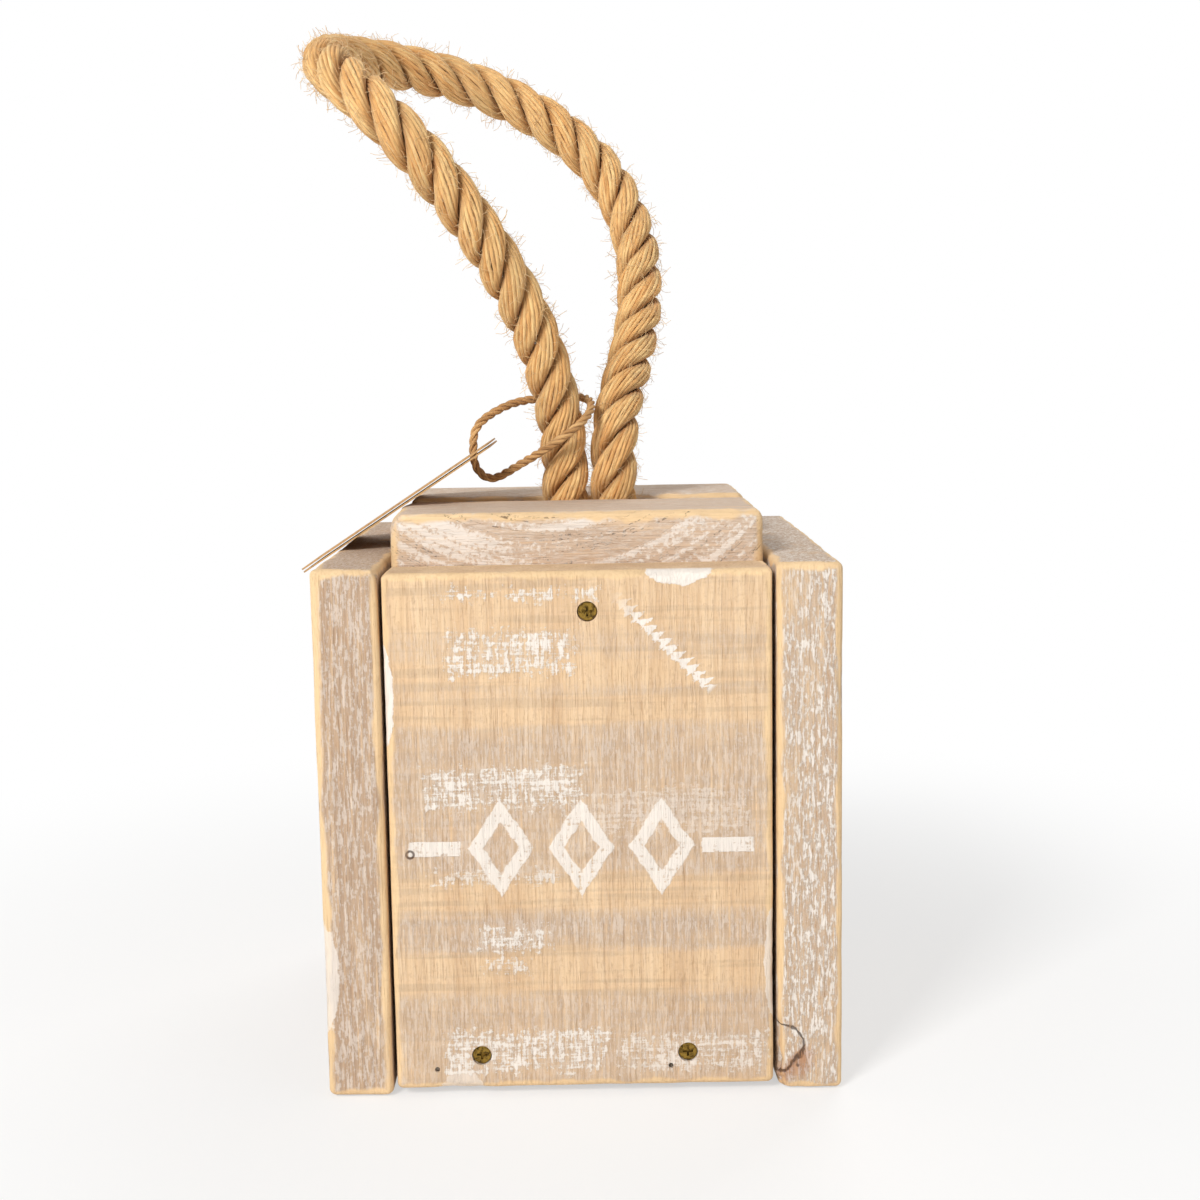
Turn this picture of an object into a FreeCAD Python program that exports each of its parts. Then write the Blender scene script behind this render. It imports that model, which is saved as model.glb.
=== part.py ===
import FreeCAD, Part
import Sketcher
import math
import os
from FreeCAD import Rotation, Vector

doc = FreeCAD.newDocument("rope_handle_doorstop")

# Driving sizes, in millimetres
SIZES = {
    "box_width": 150, "box_depth": 150, "side_height": 155, "side_thickness": 19, "face_thickness": 20,
    "face_gap": 1, "face_top_drop": 1.5, "face_foot_gap": 2, "edge_round": 2, "foot_round": 1,
    "plank_rise": 13.5, "plank_height": 38, "plank_end_gap": 1.5, "plank_round": 2.5,
    "base_thickness": 20, "base_fit": 0.2,
    "bag_height": 84, "bag_gap": 2, "bag_round": 14,
    "rope_diameter": 15.2, "rope_fit": 0.5, "rope_offset": 4, "leg_gap": 0.3, "neck_rise": 3, "neck_drop": 15,
    "tail_length": 46, "tape_length": 12, "tape_thickness": 0.3, "tape_fit": 0.05,
    "screw_head": 5.2, "screw_shank": 2.8, "screw_length": 40, "screw_tip": 4, "screw_cone": 1.4, "screw_sink": 0.8,
    "recess_width": 0.7, "recess_span": 3, "recess_depth": 1, "hole_fit": 0.1, "head_fit": 0.3,
    "top_screw_x": 2.8, "top_screw_drop": 13, "low_screw_x": 30, "side_low_screw_y": 34, "side_top_screw_y": 31,
    "brad_diameter": 1.3, "brad_length": 32, "brad_sink": 0.4, "brad_left_x": 43, "brad_right_x": 25,
    "brad_height": 8, "nail_diameter": 3.5, "nail_length": 92, "nail_drop": 24,
    "twine_diameter": 2.7, "knot_diameter": 6.4,
    "tag_length": 70, "tag_width": 45, "tag_thickness": 0.5, "tag_corner": 3, "tag_hole": 6.6, "tag_hole_inset": 7,
    "tag_reach": 32.5, "tag_rest": 0.3, "tag_spread": 0.5, "tag_depth_y": -2,
}

sheet = doc.addObject("Spreadsheet::Sheet", "Sizes")
for row, (alias, value) in enumerate(SIZES.items(), start=1):
    sheet.set(f"A{row}", alias)
    sheet.set(f"B{row}", str(value))
    sheet.setAlias(f"B{row}", alias)
doc.recompute()


def size(alias):
    """Return one driving size from the sheet."""
    return float(getattr(sheet, alias))


def bind(target, **expressions):
    """Bind properties to expressions; names use __ for a dot."""
    for name, text in expressions.items():
        target.setExpression(name.replace("__", "."), text)


def place(target, rotation, x, y, z):
    """Turn an object and bind its position to the sheet."""
    target.Placement = FreeCAD.Placement(Vector(), rotation)
    bind(target, Placement__Base__x=x, Placement__Base__y=y, Placement__Base__z=z)


def rectangle(sketch, width, height):
    """Draw a rectangle centred on the sketch's origin with bound sides."""
    half = 10
    corners = [Vector(-half, -half), Vector(half, -half), Vector(half, half), Vector(-half, half)]
    for index in range(4):
        sketch.addGeometry(Part.LineSegment(corners[index], corners[(index + 1) % 4]))
    for index in range(4):
        sketch.addConstraint(Sketcher.Constraint("Coincident", index, 2, (index + 1) % 4, 1))
    for index in (0, 2):
        sketch.addConstraint(Sketcher.Constraint("Horizontal", index))
        sketch.addConstraint(Sketcher.Constraint("Vertical", index + 1))
    sketch.addConstraint(Sketcher.Constraint("Symmetric", 0, 1, 1, 2, -1, 1))
    for name, edge, expression in (("width", 0, width), ("height", 1, height)):
        number = sketch.addConstraint(Sketcher.Constraint("Distance", edge, 2 * half))
        sketch.renameConstraint(number, name)
        sketch.setExpression(f"Constraints.{name}", expression)


def sketch_on(body, plane, label):
    """Add a sketch to one of a body's origin planes."""
    sketch = body.newObject("Sketcher::SketchObject", label)
    index = ["XY_Plane", "XZ_Plane", "YZ_Plane"].index(plane) + 3
    sketch.AttachmentSupport = [(body.Origin.OriginFeatures[index], "")]
    sketch.MapMode = "FlatFace"
    return sketch


def round_edges(body, base, label, radius, chosen):
    """Fillet the edges whose midpoint and direction are chosen."""
    doc.recompute()
    names = []
    for number, edge in enumerate(base.Shape.Edges, start=1):
        if edge.Length < 0.01 or edge.Degenerated:
            continue
        if chosen(edge.CenterOfMass, edge.tangentAt(edge.FirstParameter), base.Shape.BoundBox):
            names.append(f"Edge{number}")
    fillet = body.newObject("PartDesign::Fillet", label)
    fillet.Base = (base, names)
    bind(fillet, Radius=radius)
    return fillet


def board(label, width, height, thickness):
    """Make a board whose outer face is the local XY plane, with its thickness behind."""
    body = doc.addObject("PartDesign::Body", label)
    sketch = sketch_on(body, "XY_Plane", label + "_outline")
    rectangle(sketch, width, height)
    pad = body.newObject("PartDesign::Pad", label + "_pad")
    pad.Profile = sketch
    pad.Reversed = True
    bind(pad, Length=thickness)
    sketch.Visibility = False
    return body, pad


def on_front(point, direction, box):
    """Choose the edges of the outer face."""
    return abs(point.z - box.ZMax) < 0.01


def not_foot(point, direction, box):
    """Choose every edge except those round the foot, at the lowest local y."""
    return abs(point.y - box.YMin) > 0.01


def on_foot(point, direction, box):
    """Choose the four edges round the foot."""
    return abs(point.y - box.YMin) < 0.01


FRONT = Rotation(Vector(1, 0, 0), Vector(0, 0, 1), Vector(0, -1, 0), "ZYX")
BACK = Rotation(Vector(-1, 0, 0), Vector(0, 0, 1), Vector(0, 1, 0), "ZYX")
LEFT = Rotation(Vector(0, -1, 0), Vector(0, 0, 1), Vector(-1, 0, 0), "ZYX")
RIGHT = Rotation(Vector(0, 1, 0), Vector(0, 0, 1), Vector(1, 0, 0), "ZYX")
UP = Rotation()
TURNED = Rotation(Vector(0, 0, 1), 180)

# Expressions shared by several pieces
FACE_WIDTH = "Sizes.box_width - 2 * Sizes.side_thickness - 2 * Sizes.face_gap"
FACE_HEIGHT = "Sizes.side_height - Sizes.face_top_drop - Sizes.face_foot_gap"
FACE_MIDDLE = "(Sizes.side_height - Sizes.face_top_drop + Sizes.face_foot_gap) / 2"
SLOT_HALF = "(Sizes.rope_diameter / 2 + Sizes.rope_fit)"
INNER_DEPTH = "(Sizes.box_depth - 2 * Sizes.face_thickness)"
PLANK_DEPTH = f"{INNER_DEPTH} / 2 - {SLOT_HALF}"
PLANK_WIDTH = "Sizes.box_width - 2 * Sizes.side_thickness - 2 * Sizes.plank_end_gap"
PLANK_TOP = "(Sizes.side_height + Sizes.plank_rise)"
PLANK_MIDDLE = f"({INNER_DEPTH} / 4 + {SLOT_HALF} / 2)"
BASE_MIDDLE = "(Sizes.face_foot_gap + Sizes.base_thickness / 2)"

# Wooden blanks before drilling
blanks = {}
for name, rotation, sign in (("left_side_board", LEFT, "-"), ("right_side_board", RIGHT, "")):
    body, pad = board(name + "_blank", "Sizes.box_depth", "Sizes.side_height", "Sizes.side_thickness")
    eased = round_edges(body, pad, name + "_eased", "Sizes.edge_round", not_foot)
    round_edges(body, eased, name + "_foot", "Sizes.foot_round", on_foot)
    place(body, rotation, f"{sign}Sizes.box_width / 2", "0", "Sizes.side_height / 2")
    blanks[name] = body
for name, rotation, sign in (("front_board", FRONT, "-"), ("back_board", BACK, "")):
    body, pad = board(name + "_blank", FACE_WIDTH, FACE_HEIGHT, "Sizes.face_thickness")
    round_edges(body, pad, name + "_eased", "Sizes.edge_round", on_front)
    place(body, rotation, "0", f"{sign}Sizes.box_depth / 2", FACE_MIDDLE)
    blanks[name] = body
for name, rotation, sign in (("top_front_plank", UP, "-"), ("top_rear_plank", TURNED, "")):
    body, pad = board(name + "_blank", PLANK_WIDTH, PLANK_DEPTH, "Sizes.plank_height")
    round_edges(body, pad, name + "_eased", "Sizes.plank_round", on_front)
    place(body, rotation, "0", f"{sign}{PLANK_MIDDLE}", PLANK_TOP)
    blanks[name] = body
body, pad = board("bottom_board_blank", "Sizes.box_width - 2 * Sizes.side_thickness - 2 * Sizes.base_fit",
                  INNER_DEPTH, "Sizes.base_thickness")
place(body, UP, "0", "0", "Sizes.face_foot_gap + Sizes.base_thickness")
blanks["bottom_board"] = body

# Sand bag that rests on the bottom board
bag, pad = board("sand_bag", "Sizes.box_width - 2 * Sizes.side_thickness - 2 * Sizes.bag_gap",
                 f"{INNER_DEPTH} - 2 * Sizes.bag_gap", "Sizes.bag_height")
round_edges(bag, pad, "sand_bag_eased", "Sizes.bag_round",
            lambda point, direction, box: abs(direction.z) > 0.9 or abs(point.z - box.ZMax) < 0.01)
place(bag, UP, "0", "0", "Sizes.face_foot_gap + Sizes.base_thickness + Sizes.bag_height")


def turned(label, profile):
    """Revolve a half profile of (radius, height) expressions round the local Z axis."""
    body = doc.addObject("PartDesign::Body", label)
    sketch = sketch_on(body, "XZ_Plane", label + "_profile")
    values = [(sheet_value(radius), sheet_value(height)) for radius, height in profile]
    count = len(values)
    for index in range(count):
        start, end = values[index], values[(index + 1) % count]
        sketch.addGeometry(Part.LineSegment(Vector(*start), Vector(*end)))
    for index in range(count):
        sketch.addConstraint(Sketcher.Constraint("Coincident", index, 2, (index + 1) % count, 1))
    for index, (radius, height) in enumerate(profile):
        for axis, kind, expression in (("r", "DistanceX", radius), ("h", "DistanceY", height)):
            if axis == "r" and radius == "0":
                sketch.addConstraint(Sketcher.Constraint("PointOnObject", index, 1, -2))
                continue
            if axis == "h" and height == "0":
                sketch.addConstraint(Sketcher.Constraint("PointOnObject", index, 1, -1))
                continue
            number = sketch.addConstraint(
                Sketcher.Constraint(kind, -1, 1, index, 1, values[index][0 if axis == "r" else 1]))
            sketch.renameConstraint(number, f"{axis}{index}")
            sketch.setExpression(f"Constraints.{axis}{index}", expression)
    revolution = body.newObject("PartDesign::Revolution", label + "_turned")
    revolution.Profile = sketch
    revolution.ReferenceAxis = (sketch, ["V_Axis"])
    revolution.Angle = 360
    sketch.Visibility = False
    doc.recompute()
    return body


def sheet_value(expression):
    """Work out one expression on the sheet."""
    result = sheet.evalExpression(expression)
    return float(getattr(result, "Value", result))


# Screw with a cross recess, its head's top at the local origin, and the drill that makes its hole
HEAD, SHANK = "Sizes.screw_head / 2", "Sizes.screw_shank / 2"
screw = turned("screw_master", [
    ("0", "0"), (HEAD, "0"), (SHANK, "-Sizes.screw_cone"),
    (SHANK, "Sizes.screw_tip - Sizes.screw_length"), ("0", "-Sizes.screw_length")])
cross = sketch_on(screw, "XY_Plane", "screw_cross")
long, short = size("recess_span") / 2, size("recess_width") / 2
cross_points = [(short, short), (short, long), (-short, long), (-short, short), (-long, short), (-long, -short),
                (-short, -short), (-short, -long), (short, -long), (short, -short), (long, -short), (long, short)]
for index, start in enumerate(cross_points):
    cross.addGeometry(Part.LineSegment(Vector(*start), Vector(*cross_points[(index + 1) % 12])))
recess = screw.newObject("PartDesign::Pocket", "screw_recess")
recess.Profile = cross
bind(recess, Length="Sizes.recess_depth")
cross.Visibility = False
drill = turned("screw_drill", [
    ("0", "Sizes.screw_sink + 1"), ("Sizes.screw_head / 2 + Sizes.head_fit", "Sizes.screw_sink + 1"),
    ("Sizes.screw_head / 2 + Sizes.head_fit", "-Sizes.screw_cone"),
    ("Sizes.screw_shank / 2 + Sizes.hole_fit", "-Sizes.screw_cone"),
    ("Sizes.screw_shank / 2 + Sizes.hole_fit", "-Sizes.screw_length - Sizes.hole_fit"),
    ("0", "-Sizes.screw_length - Sizes.hole_fit")])
BRAD, NAIL = "Sizes.brad_diameter / 2", "Sizes.nail_diameter / 2"
brad = turned("brad_master", [("0", "0"), (BRAD, "0"), (BRAD, "-Sizes.brad_length"), ("0", "-Sizes.brad_length")])
brad_drill = turned("brad_drill", [
    ("0", "Sizes.brad_sink + 1"), (f"{BRAD} + Sizes.hole_fit", "Sizes.brad_sink + 1"),
    (f"{BRAD} + Sizes.hole_fit", "-Sizes.brad_length - Sizes.hole_fit"),
    ("0", "-Sizes.brad_length - Sizes.hole_fit")])
nail = turned("nail_master", [("0", "0"), (NAIL, "0"), (NAIL, "-Sizes.nail_length"), ("0", "-Sizes.nail_length")])
nail_drill = turned("nail_drill", [
    ("0", "Sizes.hole_fit"), (f"{NAIL} + Sizes.hole_fit", "Sizes.hole_fit"),
    (f"{NAIL} + Sizes.hole_fit", "-Sizes.nail_length - Sizes.hole_fit"),
    ("0", "-Sizes.nail_length - Sizes.hole_fit")])

# Where the fasteners go: each group is (rotation, x, y, z) in expressions
SINK_Y = "(Sizes.box_depth / 2 - Sizes.screw_sink)"
SINK_X = "(Sizes.box_width / 2 - Sizes.screw_sink)"
BRAD_Y = "(Sizes.box_depth / 2 - Sizes.brad_sink)"
TOP_Z = "Sizes.side_height - Sizes.top_screw_drop"
LEG = "(Sizes.rope_diameter / 2 + Sizes.leg_gap / 2)"
NAIL_Z = f"{PLANK_TOP} - Sizes.nail_drop"
screw_groups, brad_groups = {}, {}
for group, rotation, sign in (("front_screws", FRONT, "-"), ("back_screws", BACK, "")):
    screw_groups[group] = [(rotation, x, sign + SINK_Y, z) for x, z in (
        ("Sizes.top_screw_x", TOP_Z), ("-Sizes.low_screw_x", BASE_MIDDLE), ("Sizes.low_screw_x", BASE_MIDDLE))]
for group, rotation, sign in (("left_screws", LEFT, "-"), ("right_screws", RIGHT, "")):
    screw_groups[group] = [(rotation, sign + SINK_X, y, z) for y, z in (
        ("-Sizes.side_top_screw_y", TOP_Z), ("Sizes.side_top_screw_y", TOP_Z),
        ("-Sizes.side_low_screw_y", BASE_MIDDLE), ("Sizes.side_low_screw_y", BASE_MIDDLE))]
for group, rotation, sign in (("front_brads", FRONT, "-"), ("back_brads", BACK, "")):
    brad_groups[group] = [(rotation, x, sign + BRAD_Y, "Sizes.brad_height")
                          for x in ("-Sizes.brad_left_x", "Sizes.brad_right_x")]
nail_groups = {"rope_nails": [(FRONT, f"Sizes.rope_offset {sign} {LEG}", f"-{INNER_DEPTH} / 2", NAIL_Z)
                              for sign in ("-", "+")]}


def group_of(label, master, spots):
    """Gather placed copies of a master in one compound."""
    links = []
    for number, spot in enumerate(spots, start=1):
        link = doc.addObject("App::Link", f"{label}_{number}")
        link.LinkedObject = master
        place(link, *spot)
        links.append(link)
    compound = doc.addObject("Part::Compound", label)
    compound.Links = links
    return compound


nodes, drills = {}, []
for groups, master, tool in ((screw_groups, screw, drill), (brad_groups, brad, brad_drill),
                             (nail_groups, nail, nail_drill)):
    for group, spots in groups.items():
        nodes[group] = group_of(group, master, spots)
        drills.append(group_of(group + "_holes", tool, spots))
all_holes = doc.addObject("Part::Compound", "all_holes")
all_holes.Links = drills
doc.recompute()


def drilled(label, blank):
    """Cut every fastener hole from a blank."""
    cut = doc.addObject("Part::Cut", label)
    cut.Base = blank
    cut.Tool = all_holes
    return cut


for name, blank in blanks.items():
    nodes[name] = drilled(name, blank)
nodes["sand_bag"] = bag


def route_wire(label, points):
    """Join straight runs with tangent arcs and print the arc radii."""
    edges, radii, last = [], [], points[0]
    for before, corner, after in zip(points, points[1:], points[2:]):
        back, ahead = (before - corner), (after - corner)
        shorter = min(back.Length, ahead.Length)
        half_turn = (math.pi - back.getAngle(ahead)) / 2
        trim = 0.45 * shorter
        start, end = corner + back.normalize() * trim, corner + ahead.normalize() * trim
        radius = trim / math.tan(half_turn)
        bisector = (back + ahead).normalize()
        middle = corner + bisector * (radius / math.cos(half_turn) - radius)
        edges += [Part.LineSegment(last, start).toShape(), Part.Arc(start, middle, end).toShape()]
        radii.append(round(radius, 1))
        last = end
    edges.append(Part.LineSegment(last, points[-1]).toShape())
    print(label, "arc radii", radii)
    return Part.Wire(edges)


def cord(label, points, diameter):
    """Sweep a round section along a cord's route."""
    wire = route_wire(label, points)
    section = Part.Wire(Part.makeCircle(diameter / 2, points[0], points[1] - points[0]))
    solid = wire.makePipeShell([section], True, False)
    expected = math.pi * diameter ** 2 / 4 * wire.Length
    print(label, "length", round(wire.Length, 1), "volume ratio", round(solid.Volume / expected, 4))
    feature = doc.addObject("Part::Feature", label)
    feature.Shape = solid
    return feature


# Rope: the loop's corners, counted from the middle of the slot at the planks' top
EXIT = Vector(size("rope_offset"), 0, size("side_height") + size("plank_rise"))
LEG_X = size("rope_diameter") / 2 + size("leg_gap") / 2
LOOP = [(-LEG_X, 0, size("neck_rise")), (-LEG_X, 0, 15), (-10, -3.5, 33), (-17.5, -13, 57), (-29.5, -24, 79),
        (-44, -33, 99.5), (-60, -37.5, 117), (-74, -26, 129.5), (-80, -3, 137), (-75, 20.5, 141), (-59, 40, 141.5),
        (-36, 51, 137), (-11, 54, 125), (9, 51.5, 106), (18, 42, 82), (18, 29.5, 59.5), (13.5, 17, 41),
        (9.5, 6, 28), (LEG_X, 0, 14.5), (LEG_X, 0, size("neck_rise"))]
nodes["rope_loop"] = cord("rope_loop", [EXIT + Vector(*point) for point in LOOP], size("rope_diameter"))


def rods(label, radius, low, high):
    """Stand one cylinder in each rope leg's place, between two depths below the planks' top."""
    parts = []
    for sign in ("-", "+"):
        rod = doc.addObject("Part::Cylinder", label + ("_left" if sign == "-" else "_right"))
        bind(rod, Radius=radius, Height=f"{low} - ({high})")
        place(rod, UP, f"Sizes.rope_offset {sign} {LEG}", "0", f"{PLANK_TOP} - ({low})")
        parts.append(rod)
    compound = doc.addObject("Part::Compound", label)
    compound.Links = parts
    return compound


ROPE = "Sizes.rope_diameter / 2"
TAPED = f"{ROPE} - Sizes.tape_thickness - Sizes.tape_fit"
TAPE_TOP = "Sizes.tail_length - Sizes.tape_length"
nodes["rope_necks"] = rods("rope_necks", ROPE, "Sizes.neck_drop", "-Sizes.neck_rise")
upper_tails = rods("upper_tails", ROPE, TAPE_TOP, "Sizes.neck_drop")
lower_tails = rods("lower_tails", TAPED, "Sizes.tail_length", TAPE_TOP)
whole_tails = doc.addObject("Part::MultiFuse", "whole_tails")
whole_tails.Shapes = [upper_tails, lower_tails]
nodes["rope_tails"] = drilled("rope_tails", whole_tails)
tape_outside = rods("tape_outside", ROPE, "Sizes.tail_length", TAPE_TOP)
tape_inside = rods("tape_inside", f"{ROPE} - Sizes.tape_thickness", "Sizes.tail_length + 1", f"{TAPE_TOP} - 1")
tape = doc.addObject("Part::Cut", "rope_end_tape")
tape.Base, tape.Tool = tape_outside, tape_inside
nodes["rope_end_tape"] = tape

# Tags: two cards that lie on the left board's outer edge and the planks' left edge
side_round, plank_round = size("edge_round"), size("plank_round")
low_center = Vector(side_round - size("box_width") / 2, 0, size("side_height") - side_round)
high_center = Vector(size("side_thickness") + size("plank_end_gap") + plank_round - size("box_width") / 2, 0,
                     EXIT.z - plank_round)
between = high_center - low_center
slope = math.atan2(between.z, between.x) + math.asin((plank_round - side_round) / between.Length)
along = Vector(math.cos(slope), 0, math.sin(slope))
above = Vector(-math.sin(slope), 0, math.cos(slope))
card_rise = [size("tag_rest"), size("tag_rest") + size("tag_thickness") + size("tag_spread")]
card_turn = Rotation(Vector(0, 1, 0), -math.degrees(slope))
tag_top = high_center + above * plank_round + along * size("tag_reach") + Vector(0, size("tag_depth_y"), 0)
hole_center = tag_top - along * size("tag_hole_inset") + above * (sum(card_rise) + size("tag_thickness")) * 0.5
for name, rise in zip(("lower_tag", "upper_tag"), card_rise):
    body, pad = board(name, "Sizes.tag_length", "Sizes.tag_width", "Sizes.tag_thickness")
    pad.Reversed = False
    corners = round_edges(body, pad, name + "_corners", "Sizes.tag_corner",
                          lambda point, direction, box: abs(direction.z) > 0.9)
    hole = sketch_on(body, "XY_Plane", name + "_hole")
    hole.addGeometry(Part.Circle(Vector(20, 0), Vector(0, 0, 1), 3))
    hole.addConstraint(Sketcher.Constraint("PointOnObject", 0, 3, -1))
    for label, constraint, expression in (
            ("across", Sketcher.Constraint("Diameter", 0, 6), "Sizes.tag_hole"),
            ("reach", Sketcher.Constraint("DistanceX", -1, 1, 0, 3, 20), "Sizes.tag_length / 2 - Sizes.tag_hole_inset")):
        hole.renameConstraint(hole.addConstraint(constraint), label)
        hole.setExpression(f"Constraints.{label}", expression)
    pocket = body.newObject("PartDesign::Pocket", name + "_punched")
    pocket.Profile = hole
    pocket.Type = "ThroughAll"
    pocket.Midplane = True
    hole.Visibility = False
    body.Placement = FreeCAD.Placement(tag_top - along * (size("tag_length") / 2) + above * rise, card_turn)
    nodes[name] = body

# Twine: from its knot behind the left rope leg, through both tags, across the leg's front and back
KNOT = EXIT + Vector(-8.4, 8.1, 32)
BY_LEG = [(-19, 5.5, 31.5), (-27, 2, 29.5)]
BY_HOLE = [(0.4, 1, 9.5), (-0.6, 0, 2), (0.2, -0.3, -5), (5.5, -2, -8.5)]
ROUND_LEG = [(-23, -7, 10.5), (-14.5, -11.5, 15.5), (-6, -13, 21), (0.5, -8.5, 26.5), (1.3, -0.5, 30.5),
             (-2, 6, 32)]
twine_points = [KNOT + Vector(-1.5, 0, 0)] + [EXIT + Vector(*point) for point in BY_LEG]
twine_points += [hole_center + Vector(*point) for point in BY_HOLE]
twine_points += [EXIT + Vector(*point) for point in ROUND_LEG] + [KNOT + Vector(1.5, 0, 0)]
nodes["tag_twine"] = cord("tag_twine", twine_points, size("twine_diameter"))
knot = doc.addObject("Part::Sphere", "twine_knot")
bind(knot, Radius="Sizes.knot_diameter / 2")
knot.Placement.Base = KNOT
nodes["twine_knot"] = knot

print("hinge", EXIT, "tag hole", hole_center, "tag slope", round(math.degrees(slope), 2))

# Check and export
doc.recompute()
for item in doc.Objects:
    if "Invalid" in item.State or "Error" in item.State:
        raise RuntimeError(f"{item.Label}: {item.State}")
os.makedirs("parts", exist_ok=True)
for name, node in nodes.items():
    node.Label = name
    shape = node.Shape
    if shape.isNull() or not shape.isValid() or not shape.Solids:
        raise RuntimeError(f"{name}: bad shape")
    print(name, len(shape.Solids), round(shape.Volume / 1000, 2), "cm3")
    shape.exportStep(f"parts/{name}.step")
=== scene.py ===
"""Looks of a rope-handled wooden block doorstop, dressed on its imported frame."""
import logging
import math
from dataclasses import dataclass
from enum import Enum
from typing import Any, Callable, Sequence, Union

import bmesh
import bpy
from mathutils import Matrix, Vector, noise


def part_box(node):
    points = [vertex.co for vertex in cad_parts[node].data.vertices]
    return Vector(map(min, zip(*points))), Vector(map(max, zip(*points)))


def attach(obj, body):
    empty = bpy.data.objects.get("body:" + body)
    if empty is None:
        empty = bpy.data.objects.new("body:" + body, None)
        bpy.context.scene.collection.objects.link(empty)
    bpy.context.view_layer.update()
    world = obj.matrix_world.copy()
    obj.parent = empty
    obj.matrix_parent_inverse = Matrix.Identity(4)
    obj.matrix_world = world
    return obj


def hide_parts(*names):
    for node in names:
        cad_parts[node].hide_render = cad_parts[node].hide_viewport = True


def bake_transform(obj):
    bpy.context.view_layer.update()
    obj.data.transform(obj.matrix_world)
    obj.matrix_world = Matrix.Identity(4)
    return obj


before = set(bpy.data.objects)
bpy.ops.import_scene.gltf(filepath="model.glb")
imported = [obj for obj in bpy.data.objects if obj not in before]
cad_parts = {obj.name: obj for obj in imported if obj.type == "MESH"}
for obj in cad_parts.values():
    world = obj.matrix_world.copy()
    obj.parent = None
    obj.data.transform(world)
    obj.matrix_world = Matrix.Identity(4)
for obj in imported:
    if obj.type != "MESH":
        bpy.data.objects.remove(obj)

log = logging.getLogger("doorstop")
MM = 0.001
Colour = tuple[float, float, float, float]
Point = tuple[float, float, float]
WHITE: Colour = (1.0, 1.0, 1.0, 1.0)


def tone(red: int, green: int, blue: int) -> Colour:
    """Turn a display colour into a linear one.

    Args:
        red: Red, 0 to 255.
        green: Green, 0 to 255.
        blue: Blue, 0 to 255.

    Returns:
        The linear colour.
    """
    linear = [(c / 12.92 if c <= 0.04045 else ((c + 0.055) / 1.055) ** 2.4)
              for c in (red / 255, green / 255, blue / 255)]
    return (linear[0], linear[1], linear[2], 1.0)


def sum_node(operation: str, swapped: bool = False) -> Callable[..., "Value"]:
    """Make an arithmetic method for Value.

    Args:
        operation: The Math node's operation.
        swapped: Whether the value itself comes second.

    Returns:
        The method.
    """
    def method(self: "Value", other: "Operand" = 0.0) -> "Value":
        """Add the Math node.

        Args:
            other: The other side, where the operation takes one.

        Returns:
            The result.
        """
        left, right = (other, self) if swapped else (self, other)
        return self.graph.node("ShaderNodeMath", {"operation": operation}, {0: left, 1: right})
    return method


class Value:
    """A node socket that takes part in Python expressions."""

    def __init__(self, graph: "Graph", socket: Any) -> None:
        """Keep the socket.

        Args:
            graph: The graph that it is in.
            socket: The node's output.
        """
        self.graph, self.socket = graph, socket

    __add__, __radd__ = sum_node("ADD"), sum_node("ADD", True)
    __sub__, __rsub__ = sum_node("SUBTRACT"), sum_node("SUBTRACT", True)
    __mul__, __rmul__ = sum_node("MULTIPLY"), sum_node("MULTIPLY", True)
    __truediv__, __rtruediv__ = sum_node("DIVIDE"), sum_node("DIVIDE", True)
    __mod__, __abs__ = sum_node("FLOORED_MODULO"), sum_node("ABSOLUTE")
    floor, root, sine, cosine = (sum_node(name) for name in ("FLOOR", "SQRT", "SINE", "COSINE"))
    least, most, below = (sum_node(name) for name in ("MINIMUM", "MAXIMUM", "LESS_THAN"))

    def sibling(self, name: str) -> "Value":
        """Give another output of the same node.

        Args:
            name: The output's name.

        Returns:
            That output.
        """
        return Value(self.graph, self.socket.node.outputs[name])


Operand = Union[Value, float]


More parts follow.
